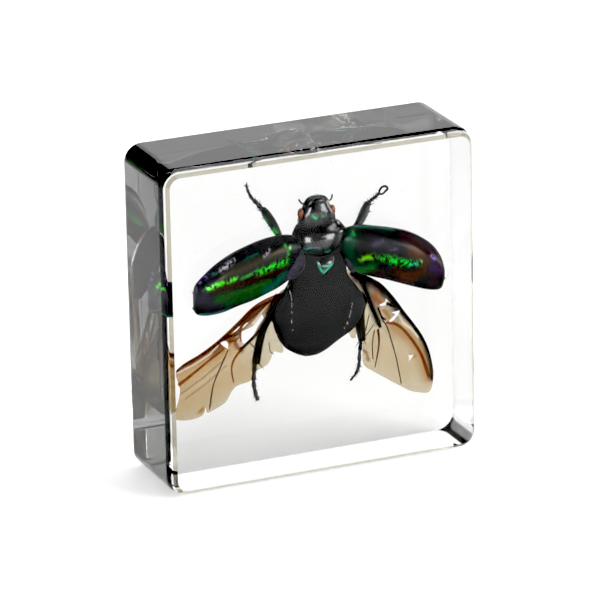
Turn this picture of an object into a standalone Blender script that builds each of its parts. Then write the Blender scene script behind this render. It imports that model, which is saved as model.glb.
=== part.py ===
"""A scarab beetle, wings spread as in flight, sealed in a clear resin block that stands on edge.

The block is cast in two pours with the beetle laid between them, so its clear solid is parted in a
front and a back half at the top of the first pour, each with its share of a close pocket.  The
beetle is one piece that grew: trunk, wing cases, wings, legs and feelers are fused in one solid.

World frame: X to the right, Y from the front face to the back, Z up, origin under the middle.
Points of the beetle are in millimetres in its own frame: X across the body, Y from its back to its
belly, Z towards the head, origin in the middle of the thorax.
"""
from math import cos, pi, sin

import bmesh
import bpy
from mathutils import Vector

MM = 0.001

# Block
WIDTH, DEPTH, HEIGHT = 75.0, 23.7, 76.0
CORNER_RADIUS = 4.1          # the four long edges, which run from front to back
CORNER_STEPS = 5
FRONT_RIM = [(0.0, 1.65), (1.0, 0.65), (3.3, 0.0)]   # cut at 45 degrees, then eased: depth, inset
BACK_RIM = [(0.0, 1.4), (0.4, 0.0)]                  # a shallow ease of the sawn back
POUR_Y = 7.95                # top of the first pour, just behind the wing cases
PARTING_GAP = 0.3
CLEARANCE = 0.45             # from the beetle to the wall of its pocket

# Beetle
BEETLE_AT = (3.6, 7.65, 44.3)
TRUNK_SIDES = 14
WING_CASE_THICKNESS = 0.5
WING_THICKNESS = 0.4
SHEET_STEPS = 6              # rows across a wing case or a wing
LEG_BEVEL_RESOLUTION = 2
TOOTH_SIDES = 5

# Trunk stations: z, middle x, half width, y of the back, y of the belly
HEAD = [(17.8, 0.3, 1.2, -0.4, 0.8), (17.2, 0.1, 2.7, -0.9, 1.2), (15.6, 0.0, 3.4, -1.7, 1.6),
        (13.6, 0.0, 4.2, -2.2, 2.0), (11.8, 0.0, 4.3, -2.4, 2.4), (9.5, 0.0, 3.6, -2.3, 2.5)]
PRONOTUM = [(12.3, -0.1, 4.3, -2.6, 2.2), (11.3, -0.1, 5.2, -3.3, 2.6), (9.3, 0.1, 6.7, -4.1, 3.0),
            (7.0, 0.2, 6.6, -4.4, 3.3), (5.2, 0.4, 4.9, -4.1, 3.4), (4.0, 0.6, 2.4, -3.6, 3.2)]
HIND_BODY = [(6.4, 0.2, 5.2, -2.4, 3.3), (3.0, 0.2, 6.9, -3.4, 3.4), (-2.6, 0.1, 7.4, -3.5, 3.4),
             (-6.0, 0.1, 9.6, -3.4, 3.4), (-9.4, 0.1, 11.2, -3.1, 3.4), (-12.6, 0.0, 10.5, -2.7, 3.3),
             (-15.6, -0.5, 8.8, -2.1, 3.2), (-17.6, -1.6, 6.3, -1.5, 2.9), (-19.6, -1.7, 3.4, -0.5, 2.3),
             (-20.6, -1.7, 1.2, 0.3, 1.5)]
SCUTELLUM = [(4.6, 0.9, 2.4, -4.0, -2.7), (2.0, 0.9, 1.9, -4.1, -2.7), (-0.4, 0.6, 0.3, -3.8, -2.9)]
EYE_RADIUS = 1.15
EYE_SEGMENTS, EYE_RINGS = 10, 6
EYES = [(-3.8, -0.6, 13.5), (3.9, -0.6, 13.3)]

# Sheets: per station, x and z of the upper edge, x and z of the lower edge, y of the edges
LEFT_WING_CASE = [(-3.8, 7.4, -3.4, 3.6, -2.0), (-8.7, 9.9, -7.3, 0.1, -1.9),
                  (-12.7, 9.6, -10.5, -3.3, -1.7), (-16.5, 8.6, -13.8, -4.9, -1.4),
                  (-20.4, 7.4, -17.7, -5.9, -1.1), (-24.2, 5.5, -21.5, -6.6, -0.7),
                  (-27.1, 3.3, -25.4, -6.7, -0.4), (-29.1, 1.2, -28.1, -6.4, -0.2),
                  (-30.1, -2.5, -29.6, -5.1, 0.0)]
RIGHT_WING_CASE = [(4.4, 7.2, 4.0, 3.8, -2.0), (8.2, 9.5, 6.2, 1.2, -2.0),
                   (11.8, 9.2, 8.2, -1.4, -2.1), (17.3, 7.6, 12.7, -3.8, -2.2),
                   (20.9, 6.5, 17.1, -5.5, -2.3), (24.4, 4.9, 22.4, -7.3, -2.4),
                   (27.2, 3.0, 26.0, -8.2, -2.4), (29.2, 0.9, 29.0, -8.5, -2.5),
                   (30.5, -3.1, 30.3, -6.4, -2.5)]
WING_CASE_CROWN = 3.4        # how far the middle of a wing case stands out from its edges
LEFT_WING = [(-6.5, -1.5, -6.5, -10.5, -0.5), (-11.0, -5.6, -10.2, -14.1, -0.5),
             (-15.8, -6.7, -11.3, -17.8, -0.2), (-19.5, -9.8, -12.8, -20.4, 0.2),
             (-24.2, -13.6, -16.6, -23.7, 0.7), (-28.9, -16.2, -21.2, -25.7, 1.4),
             (-32.6, -18.3, -26.2, -29.8, 1.9), (-33.7, -20.5, -32.9, -31.1, 2.2),
             (-34.2, -23.5, -34.1, -30.4, 2.3)]
RIGHT_WING = [(6.5, -1.5, 6.5, -10.5, -0.5), (14.9, -5.3, 9.2, -16.0, -0.1),
              (17.6, -8.3, 10.0, -19.6, 0.2), (20.3, -12.4, 11.0, -24.4, 0.4),
              (23.1, -16.1, 13.5, -26.7, 0.8), (25.6, -19.7, 17.3, -29.4, 1.2),
              (27.3, -23.7, 20.5, -31.5, 1.6), (28.5, -28.8, 24.8, -33.8, 2.0),
              (28.3, -32.2, 27.6, -34.0, 2.1)]
WING_CROWN = 0.5
ARCH_ROOT, ARCH_TIP = 0.15, 0.9   # shares of a half wave that the crown follows from root to tip
ARCH_POWER = 0.8                  # under 1, so that the arch is full towards its edges

# Limbs: points along the middle line, each x, y, z and radius
LIMBS = {
    "fore_thigh_left": [(-2.4, 0.5, 6.6, 1.2), (-9.2, -1.2, 9.5, 1.1)],
    "fore_shin_left": [(-9.2, -1.4, 9.2, 0.9), (-11.0, 1.0, 13.3, 1.2), (-12.4, 2.4, 15.7, 0.8)],
    "fore_foot_left": [(-12.5, 2.3, 15.4, 0.5), (-14.0, 2.6, 17.1, 0.5), (-15.5, 2.7, 19.3, 0.5),
                       (-16.0, 2.7, 21.5, 0.3)],
    "fore_thigh_right": [(1.6, 0.5, 6.6, 1.2), (9.3, -1.2, 8.5, 1.1)],
    "fore_shin_right": [(9.3, -1.4, 8.4, 0.9), (11.8, 1.0, 11.3, 1.2), (13.2, 2.3, 13.3, 0.8)],
    "fore_foot_right": [(13.1, 2.3, 13.2, 0.5), (15.6, 2.6, 13.9, 0.5), (17.6, 2.7, 15.2, 0.5),
                        (16.5, 2.7, 16.5, 0.3)],
    "mid_thigh_left": [(-2.4, 0.8, 1.2, 1.3), (-10.2, 1.6, 4.6, 1.2)],
    "mid_shin_left": [(-10.0, 1.7, 4.8, 0.9), (-15.3, 1.9, 0.2, 1.1)],
    "mid_foot_left": [(-15.2, 2.0, 0.3, 0.5), (-19.2, 2.3, -1.7, 0.4), (-21.7, 2.3, -2.0, 0.3)],
    "mid_thigh_right": [(1.6, 0.8, 1.2, 1.3), (9.8, 1.6, 4.2, 1.2)],
    "mid_shin_right": [(9.6, 1.7, 4.4, 0.9), (14.6, 1.9, -0.5, 1.1)],
    "mid_foot_right": [(14.5, 2.0, -0.4, 0.5), (18.6, 2.3, -2.7, 0.4), (21.3, 2.3, -3.2, 0.3)],
    "hind_thigh_left": [(-2.4, 0.6, -5.6, 1.7), (-11.6, 1.3, -10.2, 1.5)],
    "hind_shin_left": [(-11.4, 1.4, -10.0, 1.0), (-13.9, 1.9, -14.6, 1.1), (-14.9, 1.9, -20.6, 1.2)],
    "hind_foot_left": [(-14.9, 2.0, -20.2, 0.6), (-15.5, 2.5, -25.3, 0.5), (-14.6, 2.7, -29.5, 0.35)],
    "hind_thigh_right": [(1.6, 0.6, -5.6, 1.7), (11.5, 1.3, -9.4, 1.5)],
    "hind_shin_right": [(11.5, 1.4, -9.2, 1.0), (11.0, 1.9, -13.2, 1.2), (11.0, 1.9, -19.6, 1.1)],
    "hind_foot_right": [(11.0, 2.0, -19.2, 0.5), (10.5, 2.5, -23.1, 0.5), (10.1, 2.6, -25.9, 0.45),
                        (8.4, 2.7, -28.4, 0.3)],
    "feeler_left": [(-1.2, 0.1, 15.2, 0.5), (-3.3, 0.3, 16.0, 0.4), (-4.2, 0.5, 17.1, 0.45)],
    "feeler_right": [(1.3, 0.1, 15.0, 0.5), (3.9, 0.3, 15.8, 0.4), (4.2, 0.5, 16.9, 0.45)],
}

# Teeth and spurs: root x, y, z, then tip x, y, z
TEETH = [(-11.6, 1.7, 13.6, -13.2, 2.2, 13.4), (-12.0, 2.2, 15.1, -13.9, 2.5, 15.5),
         (12.3, 1.4, 11.5, 14.2, 1.8, 11.2), (12.8, 2.2, 12.8, 14.9, 2.5, 12.9),
         (-15.0, 2.0, -19.9, -16.1, 2.3, -21.8), (-14.4, 2.0, -19.9, -12.8, 2.3, -22.5),
         (10.6, 2.0, -18.9, 9.3, 2.3, -20.7), (11.2, 2.0, -18.9, 12.3, 2.3, -21.1)]
TOOTH_RADIUS, TOOTH_TIP_RADIUS = 0.65, 0.1
WELD_DISTANCE = 0.01

# Finish
SHELL_COLOUR, SHELL_ROUGHNESS, SHELL_METALLIC = (0.02, 0.035, 0.03), 0.35, 0.4
RESIN_COLOUR, RESIN_ROUGHNESS, RESIN_IOR = (0.95, 0.97, 0.96), 0.03, 1.5
SHARP_ANGLE = 0.7            # radians between faces, past which an edge is shaded sharp


def clear_scene():
    for item in list(bpy.data.objects):
        bpy.data.objects.remove(item, do_unlink=True)


def new_collection(name):
    made = bpy.data.collections.new(name)
    bpy.context.scene.collection.children.link(made)
    return made


def principled(name, colour, roughness, metallic=0.0, transmission=0.0, ior=RESIN_IOR):
    made = bpy.data.materials.new(name)
    made.use_nodes = True
    shader = made.node_tree.nodes["Principled BSDF"]
    shader.inputs["Base Color"].default_value = (*colour, 1.0)
    shader.inputs["Roughness"].default_value = roughness
    shader.inputs["Metallic"].default_value = metallic
    shader.inputs["Transmission Weight"].default_value = transmission
    shader.inputs["IOR"].default_value = ior
    return made


def add_object(name, mesh, collection):
    made = bpy.data.objects.new(name, mesh)
    collection.objects.link(made)
    return made


def mesh_from(name, bm):
    """Turns a bmesh in millimetres into a mesh in metres, faces pointing out."""
    bmesh.ops.recalc_face_normals(bm, faces=bm.faces)
    bmesh.ops.scale(bm, vec=(MM, MM, MM), verts=bm.verts)
    mesh = bpy.data.meshes.new(name)
    bm.to_mesh(mesh)
    bm.free()
    return mesh


def evaluated_mesh(item):
    """The item's mesh with its modifiers, or a curve's skin, in world space."""
    graph = bpy.context.evaluated_depsgraph_get()
    mesh = bpy.data.meshes.new_from_object(item.evaluated_get(graph))
    mesh.transform(item.matrix_world)
    return mesh


def weld_caps(mesh):
    """Joins a tube's loose end caps to its wall."""
    bm = bmesh.new()
    bm.from_mesh(mesh)
    bmesh.ops.remove_doubles(bm, verts=bm.verts, dist=WELD_DISTANCE * MM)
    bmesh.ops.recalc_face_normals(bm, faces=bm.faces)
    bm.to_mesh(mesh)
    bm.free()
    return mesh


def trunk_ring(station):
    z, middle, half_width, y_back, y_belly = station
    y_middle, half_depth = (y_back + y_belly) / 2, (y_belly - y_back) / 2
    turns = [2 * pi * k / TRUNK_SIDES for k in range(TRUNK_SIDES)]
    return [(middle + half_width * cos(a), y_middle + half_depth * sin(a), z) for a in turns]


def trunk_piece(name, stations, collection):
    """Lofts one division of the trunk through its stations, closed at both ends."""
    bm = bmesh.new()
    rings = [[bm.verts.new(point) for point in trunk_ring(station)] for station in stations]
    for ring, following in zip(rings, rings[1:]):
        for k in range(TRUNK_SIDES):
            after = (k + 1) % TRUNK_SIDES
            bm.faces.new((ring[k], ring[after], following[after], following[k]))
    bm.faces.new(rings[0])
    bm.faces.new(rings[-1])
    return add_object(name, mesh_from(name, bm), collection)


def eye(name, centre, collection):
    bm = bmesh.new()
    bmesh.ops.create_uvsphere(bm, u_segments=EYE_SEGMENTS, v_segments=EYE_RINGS,
                              radius=EYE_RADIUS)
    bmesh.ops.translate(bm, vec=centre, verts=bm.verts)
    return add_object(name, mesh_from(name, bm), collection)


def sheet(name, stations, crown, thickness, collection):
    """A wing case or wing: an arched sheet between its upper and lower edge, made solid."""
    bm = bmesh.new()
    rows = []
    shares = [step / SHEET_STEPS for step in range(SHEET_STEPS + 1)]
    for k, (upper_x, upper_z, lower_x, lower_z, edge_y) in enumerate(stations):
        along = k / (len(stations) - 1)
        rise = crown * sin(pi * (ARCH_ROOT + (ARCH_TIP - ARCH_ROOT) * along))
        rows.append([bm.verts.new((upper_x + (lower_x - upper_x) * share,
                                   edge_y - rise * sin(pi * share) ** ARCH_POWER,
                                   upper_z + (lower_z - upper_z) * share)) for share in shares])
    for row, outer in zip(rows, rows[1:]):
        for k in range(SHEET_STEPS):
            bm.faces.new((row[k], row[k + 1], outer[k + 1], outer[k]))
    made = add_object(name, mesh_from(name, bm), collection)
    solidify = made.modifiers.new("thickness", "SOLIDIFY")
    solidify.thickness = thickness * MM
    solidify.offset = 0.0
    made.data = evaluated_mesh(made)
    made.modifiers.clear()
    return made


def limb(name, points, collection):
    """A leg's joint or a feeler: a tube whose radius changes along its middle line."""
    curve = bpy.data.curves.new(name, "CURVE")
    curve.dimensions = "3D"
    curve.bevel_depth = MM
    curve.bevel_resolution = LEG_BEVEL_RESOLUTION
    curve.use_fill_caps = True
    spline = curve.splines.new("POLY")
    spline.points.add(len(points) - 1)
    for target, (x, y, z, radius) in zip(spline.points, points):
        target.co = (x * MM, y * MM, z * MM, 1.0)
        target.radius = radius
    tube = add_object(name + "_line", curve, collection)
    made = add_object(name, weld_caps(evaluated_mesh(tube)), collection)
    bpy.data.objects.remove(tube, do_unlink=True)
    return made


def tooth(name, root_and_tip, collection):
    root, tip = Vector(root_and_tip[:3]), Vector(root_and_tip[3:])
    bm = bmesh.new()
    bmesh.ops.create_cone(bm, cap_ends=True, segments=TOOTH_SIDES, radius1=TOOTH_RADIUS,
                          radius2=TOOTH_TIP_RADIUS, depth=(tip - root).length)
    turn = Vector((0, 0, 1)).rotation_difference(tip - root).to_matrix()
    bmesh.ops.rotate(bm, matrix=turn, verts=bm.verts)
    bmesh.ops.translate(bm, vec=(root + tip) / 2, verts=bm.verts)
    return add_object(name, mesh_from(name, bm), collection)


def beetle_pieces(collection):
    """Every division of the beetle as its own closed solid, in the beetle's frame."""
    pieces = [trunk_piece("hind_body", HIND_BODY, collection),
              trunk_piece("pronotum", PRONOTUM, collection),
              trunk_piece("head", HEAD, collection),
              trunk_piece("scutellum", SCUTELLUM, collection)]
    pieces += [eye(f"eye_{k}", centre, collection) for k, centre in enumerate(EYES)]
    for name, stations in (("left", LEFT_WING_CASE), ("right", RIGHT_WING_CASE)):
        pieces.append(sheet("wing_case_" + name, stations, WING_CASE_CROWN, WING_CASE_THICKNESS,
                            collection))
    for name, stations in (("left", LEFT_WING), ("right", RIGHT_WING)):
        pieces.append(sheet("wing_" + name, stations, WING_CROWN, WING_THICKNESS, collection))
    pieces += [limb(name, points, collection) for name, points in LIMBS.items()]
    pieces += [tooth(f"tooth_{k}", ends, collection) for k, ends in enumerate(TEETH)]
    return pieces


def swell(item, distance):
    """Moves a solid's surface out along its normals."""
    displace = item.modifiers.new("swell", "DISPLACE")
    displace.mid_level = 0.0
    displace.strength = distance * MM
    item.data = evaluated_mesh(item)
    item.modifiers.clear()


def fuse(name, pieces, collection):
    """Joins closed solids that overlap into one solid, and takes the pieces away."""
    first, others = pieces[0], pieces[1:]
    gathered = bpy.data.collections.new(name + "_pieces")
    for piece in others:
        gathered.objects.link(piece)
    whole = add_object(name, first.data, collection)
    union = whole.modifiers.new("union", "BOOLEAN")
    union.operation = "UNION"
    union.operand_type = "COLLECTION"
    union.collection = gathered
    whole.data = evaluated_mesh(whole)
    whole.modifiers.clear()
    for piece in pieces:
        bpy.data.objects.remove(piece, do_unlink=True)
    bpy.data.collections.remove(gathered)
    whole.location = Vector(BEETLE_AT) * MM
    return whole


def build_beetle(parts):
    beetle = fuse("beetle", beetle_pieces(parts), parts)
    beetle.data.materials.append(principled("beetle_shell", SHELL_COLOUR, SHELL_ROUGHNESS,
                                            metallic=SHELL_METALLIC))
    beetle.data.shade_smooth()
    beetle.data.set_sharp_from_angle(angle=SHARP_ANGLE)


def build_pocket(cutters):
    """The beetle again with every division swollen, as the shape that the resin leaves free."""
    pieces = beetle_pieces(cutters)
    for piece in pieces:
        swell(piece, CLEARANCE)
    pocket = fuse("pocket", pieces, cutters)
    pocket.hide_render = True
    pocket.display_type = "WIRE"
    return pocket


def rounded_rectangle(inset):
    """The block's section, drawn in by the inset: points (x, z) of four round corners."""
    radius = CORNER_RADIUS - inset
    far_x, low_z, high_z = WIDTH / 2 - inset - radius, inset + radius, HEIGHT - inset - radius
    ring = []
    for x, z, start in ((far_x, high_z, 0.0), (-far_x, high_z, 0.5), (-far_x, low_z, 1.0),
                        (far_x, low_z, 1.5)):
        for step in range(CORNER_STEPS + 1):
            angle = (start + 0.5 * step / CORNER_STEPS) * pi
            ring.append((x + radius * cos(angle), z + radius * sin(angle)))
    return ring


def resin_blank(name, y_outer, y_parting, rim, collection):
    """A half of the block before its pocket: long edges rounded, the rim of its outer face eased."""
    inwards = 1.0 if y_parting > y_outer else -1.0
    stations = [(y_outer + inwards * depth, inset) for depth, inset in rim] + [(y_parting, 0.0)]
    bm = bmesh.new()
    rings = [[bm.verts.new((x, y, z)) for x, z in rounded_rectangle(inset)] for y, inset in stations]
    for near, far in zip(rings, rings[1:]):
        for k in range(len(near)):
            following = (k + 1) % len(near)
            bm.faces.new((near[k], near[following], far[following], far[k]))
    bm.faces.new(rings[0])
    bm.faces.new(rings[-1])
    return add_object(name, mesh_from(name, bm), collection)


def build_resin(name, y_outer, y_parting, rim, pocket, parts):
    half = resin_blank(name, y_outer, y_parting, rim, parts)
    cut = half.modifiers.new("pocket", "BOOLEAN")
    cut.operation = "DIFFERENCE"
    cut.object = pocket
    half.data.materials.append(principled("clear_resin", RESIN_COLOUR, RESIN_ROUGHNESS,
                                          transmission=1.0, ior=RESIN_IOR))


def main():
    clear_scene()
    parts = new_collection("insect in resin block")
    cutters = new_collection("cutters")
    build_beetle(parts)
    pocket = build_pocket(cutters)
    bpy.context.view_layer.update()
    build_resin("resin_front", -DEPTH / 2, POUR_Y - PARTING_GAP / 2, FRONT_RIM, pocket, parts)
    build_resin("resin_back", DEPTH / 2, POUR_Y + PARTING_GAP / 2, BACK_RIM, pocket, parts)


main()
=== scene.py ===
# %% [markdown]
# # A flying beetle cast in clear resin
# The real object is a desk piece about 75 mm square. A dried scarab is set with its wing cases lifted
# and its wings out, laid on a first pour of clear casting resin, and covered by a second pour. The
# block is then sawn, sanded and polished, and its rims are cut at 45 degrees.
# All sizes here are in millimetres in the frame of the solids: X to the right, Y from the front face
# to the back, Z up, with the origin under the middle of the block.

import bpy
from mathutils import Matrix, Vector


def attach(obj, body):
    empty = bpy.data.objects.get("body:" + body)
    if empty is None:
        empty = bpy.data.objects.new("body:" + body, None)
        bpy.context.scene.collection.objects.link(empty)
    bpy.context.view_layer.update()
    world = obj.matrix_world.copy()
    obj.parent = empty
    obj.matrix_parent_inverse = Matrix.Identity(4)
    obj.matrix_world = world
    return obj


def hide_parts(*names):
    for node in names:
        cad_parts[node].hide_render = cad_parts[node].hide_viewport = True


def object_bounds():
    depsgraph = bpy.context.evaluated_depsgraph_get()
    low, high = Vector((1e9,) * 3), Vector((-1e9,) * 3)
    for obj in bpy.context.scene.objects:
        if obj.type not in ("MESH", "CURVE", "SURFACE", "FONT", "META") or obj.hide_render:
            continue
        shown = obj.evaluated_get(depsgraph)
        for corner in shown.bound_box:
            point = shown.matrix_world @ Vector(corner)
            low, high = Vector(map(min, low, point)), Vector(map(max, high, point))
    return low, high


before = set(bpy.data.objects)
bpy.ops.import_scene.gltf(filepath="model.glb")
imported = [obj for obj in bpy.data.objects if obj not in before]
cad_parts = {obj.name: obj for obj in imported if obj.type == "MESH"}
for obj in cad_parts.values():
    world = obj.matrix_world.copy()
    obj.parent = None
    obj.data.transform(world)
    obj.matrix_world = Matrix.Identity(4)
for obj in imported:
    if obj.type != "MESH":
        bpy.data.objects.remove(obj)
cad_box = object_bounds()
print("solids:", sorted(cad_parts), "box in metres:", [list(corner) for corner in cad_box])

# %% Modules and the unit
import math

import bmesh
import bpy
import numpy as np
from mathutils import Matrix, Vector, geometry

MM = 0.001
BLOCK_LOW, BLOCK_HIGH = [corner / MM for corner in cad_box]
print("block in mm:", [round(v, 2) for v in BLOCK_HIGH - BLOCK_LOW])

# %% [markdown]
# ## Colours and nodes
# Colours are written as sRGB hex values, the way a colour picker shows them, and turned to the linear
# values that light adds up in. One function adds any node: an input that is a socket is linked, and
# any other input is a value. A material gets its constant values when it is made, and what varies
# over it is linked to its shader afterwards.

# %% Colour and node helpers
def linear(hex_colour):
    """An sRGB hex colour as linear red, green, blue and alpha."""
    parts = [int(hex_colour[k:k + 2], 16) / 255 for k in (1, 3, 5)]
    return tuple(v / 12.92 if v <= 0.04045 else ((v + 0.055) / 1.055) ** 2.4 for v in parts) + (1.0,)


def add(tree, kind, inputs=None, **settings):
    """Adds a node with its settings, its values and its links."""
    node = tree.nodes.new("ShaderNode" + kind)
    for key, value in settings.items():
        setattr(node, key, value)
    for key, value in (inputs or {}).items():
        if isinstance(value, bpy.types.NodeSocket):
            tree.links.new(value, node.inputs[key])
        else:
            node.inputs[key].default_value = value
    return node


def new_material(name, **values):
    """A material with its Principled shader; the values go to the sockets of that name."""
    made = bpy.data.materials.new(name)
    made.use_nodes = True
    shader = made.node_tree.nodes["Principled BSDF"]
    for key, value in values.items():
        shader.inputs[key.replace("_", " ")].default_value = value
    return made, made.node_tree, shader


def dress(shader, **sockets):
    """Links each socket to the shader's input of that name."""
    for key, socket in sockets.items():
        shader.id_data.links.new(socket, shader.inputs[key.replace("_", " ")])


print("black cuticle is", [round(v, 4) for v in linear("#16161A")])

# %% [markdown]
# ## Textures, bumps and patches
# Grain, wrinkles and facets are textures, whose size is given in millimetres, and bumps that follow
# them. No natural surface has one flat colour either, so a last helper lets a colour vary a little in
# soft patches. The colour is a hex value or one that is kept on the mesh.

# %% Texture helpers
NOISE_RANGE = (0.3, 0.7)       # nearly all values of a noise texture lie between these


def texture(tree, kind, size_mm, vector=None, **inputs):
    """A texture with features of about this size, laid in the object's own space."""
    if vector is None:
        vector = add(tree, "TexCoord").outputs["Object"]
    return add(tree, "Tex" + kind, {"Vector": vector, "Scale": 1 / (size_mm * MM), **inputs})


def fade(tree, value, start, end, low=0.0, high=1.0, **settings):
    """Goes from low to high while the value goes from start to end."""
    return add(tree, "MapRange", {"Value": value, "From Min": start, "From Max": end, "To Min": low,
                                  "To Max": high}, **settings).outputs["Result"]


def blend(tree, share, first, second):
    """A colour between two hex colours."""
    return add(tree, "Mix", {0: share, 6: linear(first), 7: linear(second)}, data_type="RGBA").outputs[2]


def bump(tree, height, depth_mm, invert=False, **inputs):
    """The normals of a surface with bumps of this depth, which may lie on another Normal."""
    return add(tree, "Bump", {"Height": height, "Distance": depth_mm * MM, **inputs},
               invert=invert).outputs["Normal"]


def painted(tree, layer="marks"):
    """The colour that is kept on the mesh under this name."""
    return add(tree, "Attribute", attribute_name=layer).outputs["Color"]


def patchy(tree, colour, patch_mm, tones=(0.8, 1.15), detail=3.0, roughness=0.5):
    """A colour, given as a value or a socket, that varies between two tones in soft patches."""
    patches = texture(tree, "Noise", patch_mm, Detail=detail, Roughness=roughness)
    tone = fade(tree, patches.outputs["Fac"], *NOISE_RANGE, *tones)
    return add(tree, "VectorMath", {0: colour, "Scale": tone}, operation="SCALE").outputs["Vector"]


def patchy_material(name, hex_colour, patch_mm, **values):
    """A material in patches of a hex colour, or of the marks on the mesh if that is None."""
    made, tree, shader = new_material(name, **values)
    colour = linear(hex_colour)[:3] if hex_colour else painted(tree)
    dress(shader, Base_Color=patchy(tree, colour, patch_mm))
    return made


print("a texture with features of 1 mm has the scale", round(1 / MM))

# %% [markdown]
# ## From points to pieces
# Nearly every part of an insect is a loft: a ring of points that changes size along a line. Four
# helpers are enough: a smooth curve through a few points, a skin over rings, a tube with a radius at
# each point, and several shapes joined as one. A last one makes the Blender object, gives it its
# material, hangs it on the block and hides the solids of the frame that it stands for.

# %% Shape helpers
def smooth(points, per_span, closed=False):
    """A curve through all the points, as an array of points (a Catmull-Rom spline)."""
    p = np.array(points, float)
    if closed:
        p = np.vstack([p[-1], p, p[0], p[1]])
    else:
        p = np.vstack([2 * p[0] - p[1], p, 2 * p[-1] - p[-2]])
    t = np.arange(per_span)[:, None] / per_span
    spans = [0.5 * (2 * b + (c - a) * t + (2 * a - 5 * b + 4 * c - d) * t ** 2
                    + (3 * b - a - 3 * c + d) * t ** 3) for a, b, c, d in zip(p, p[1:], p[2:], p[3:])]
    return np.vstack(spans if closed else spans + [p[-2:-1]])


def skin(rings):
    """Corners and faces of the surface over closed rings of points, with both ends closed."""
    rings = np.array(rings, float)
    count, around = rings.shape[:2]
    faces = [(r * around + k, r * around + (k + 1) % around, (r + 1) * around + (k + 1) % around,
              (r + 1) * around + k) for r in range(count - 1) for k in range(around)]
    ends = [tuple(range(around))[::-1], tuple(range((count - 1) * around, count * around))]
    return rings.reshape(-1, 3), faces + ends


def tube(points, radii, sides=10):
    """A round bar along the points, whose radius is given at each point."""
    points = np.array(points, float)
    along = np.gradient(points, axis=0)
    along /= np.linalg.norm(along, axis=1)[:, None]
    side = np.cross(along[0], (0.31, 0.87, 0.39))      # any direction that no part runs along
    turns = np.linspace(0, 2 * math.pi, sides, endpoint=False)
    rings = []
    for point, direction, radius in zip(points, along, np.broadcast_to(radii, len(points))):
        side = side - direction * side.dot(direction)
        side /= np.linalg.norm(side)
        up = np.cross(direction, side)
        rings.append([point + radius * (math.cos(a) * side + math.sin(a) * up) for a in turns])
    return skin(rings)


def join(shapes):
    """Several shapes as one."""
    corners, faces, start = [], [], 0
    for points, polygons in shapes:
        corners.append(points)
        faces += [tuple(k + start for k in polygon) for polygon in polygons]
        start += len(points)
    return np.vstack(corners), faces


def piece(name, shape, material, replaced=("beetle",), sharp=40):
    """The Blender object of a shape: normals out, shaded smooth, riding on the block."""
    mesh = bpy.data.meshes.new(name)
    mesh.from_pydata((np.array(shape[0]) * MM).tolist(), [], shape[1])
    bm = bmesh.new()
    bm.from_mesh(mesh)
    bmesh.ops.recalc_face_normals(bm, faces=bm.faces)
    bm.to_mesh(mesh)
    bm.free()
    mesh.materials.append(material)
    mesh.shade_smooth()
    mesh.set_sharp_from_angle(angle=math.radians(sharp))
    made = bpy.data.objects.new(name, mesh)
    bpy.context.scene.collection.objects.link(made)
    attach(made, "root")
    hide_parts(*replaced)
    print(f"{name}: {len(mesh.vertices)} corners, {len(mesh.polygons)} faces")
    return made


print("a curve through 3 points has", len(smooth([(0, 0, 0), (1, 2, 0), (3, 2, 1)], 8)), "points")

# %% [markdown]
# ## Marks
# Many markings of an insect follow a line: a vein, a gleam along a wing case, a dark margin. A mark is
# such a line with a width. Its strength is 1 on the line and falls off softly to the sides. Marks are
# laid over each other like washes of ink, and kept on the mesh as a colour for each corner.

# %% Mark helpers
def near(x, z, line, width):
    """How close each point is to a line of (x, z) points, from 1 on it to 0 well away."""
    best = np.full(len(x), np.inf)
    for (x0, z0), (x1, z1) in zip(line, line[1:]):
        dx, dz = x1 - x0, z1 - z0
        share = np.clip(((x - x0) * dx + (z - z0) * dz) / (dx * dx + dz * dz), 0, 1)
        best = np.minimum(best, (x - x0 - share * dx) ** 2 + (z - z0 - share * dz) ** 2)
    return np.exp(-best / width ** 2)


def wash(mesh, name, base, marks):
    """Lays marks (line, width, colour, strength) over a base colour and keeps them on the mesh."""
    points = np.array([corner.co for corner in mesh.vertices]) / MM
    colour = np.tile(linear(base), (len(points), 1))
    for line, width, tint, strength in marks:
        share = (near(points[:, 0], points[:, 2], line, width) * strength)[:, None]
        colour = colour * (1 - share) + np.array(linear(tint)) * share
    layer = mesh.color_attributes.new(name, "FLOAT_COLOR", "POINT")
    layer.data.foreach_set("color", colour.astype(np.float32).ravel())


print("a mark 1 mm wide is", round(float(near(np.array([0.5]), np.array([0.0]),
                                              [(0, -1), (0, 1)], 1.0)[0]), 2), "strong at 0.5 mm")

# %% [markdown]
# ## Cast resin, polished
# Clear casting resin is a polyester or epoxy with a refractive index close to 1.5. Polished, it gives
# mirror reflections inside the block, which is why the beetle shows again in the side and the top.
# It swallows a little light on the way: more than a quarter over the depth of the block, and far more
# on the long paths between its narrow sides, which therefore look smoky.
# The block has a single material, because it is a single body of resin. A colour on the mesh tints its
# faces: none on the wide faces, a greyish cream on the cut rim, and a grey on the sawn sides, which is
# painted shade that darkens what is seen through them.

# %% Resin material
RESIN_IOR = 1.5
ABSORBED_PER_METRE = 14.0
ABSORBED_TINT = "#141008"      # nearly black: the resin takes all colours alike, blue a touch more
# The grey of the sawn sides is painted shade, which darkens what is seen through them; the cut rim gets a
# greyish cream tint.
CLEAR, CUT_RIM, SIDE_PAINTED_SHADE = "#FFFFFF", "#A09A80", "#BCC0BE"

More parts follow.
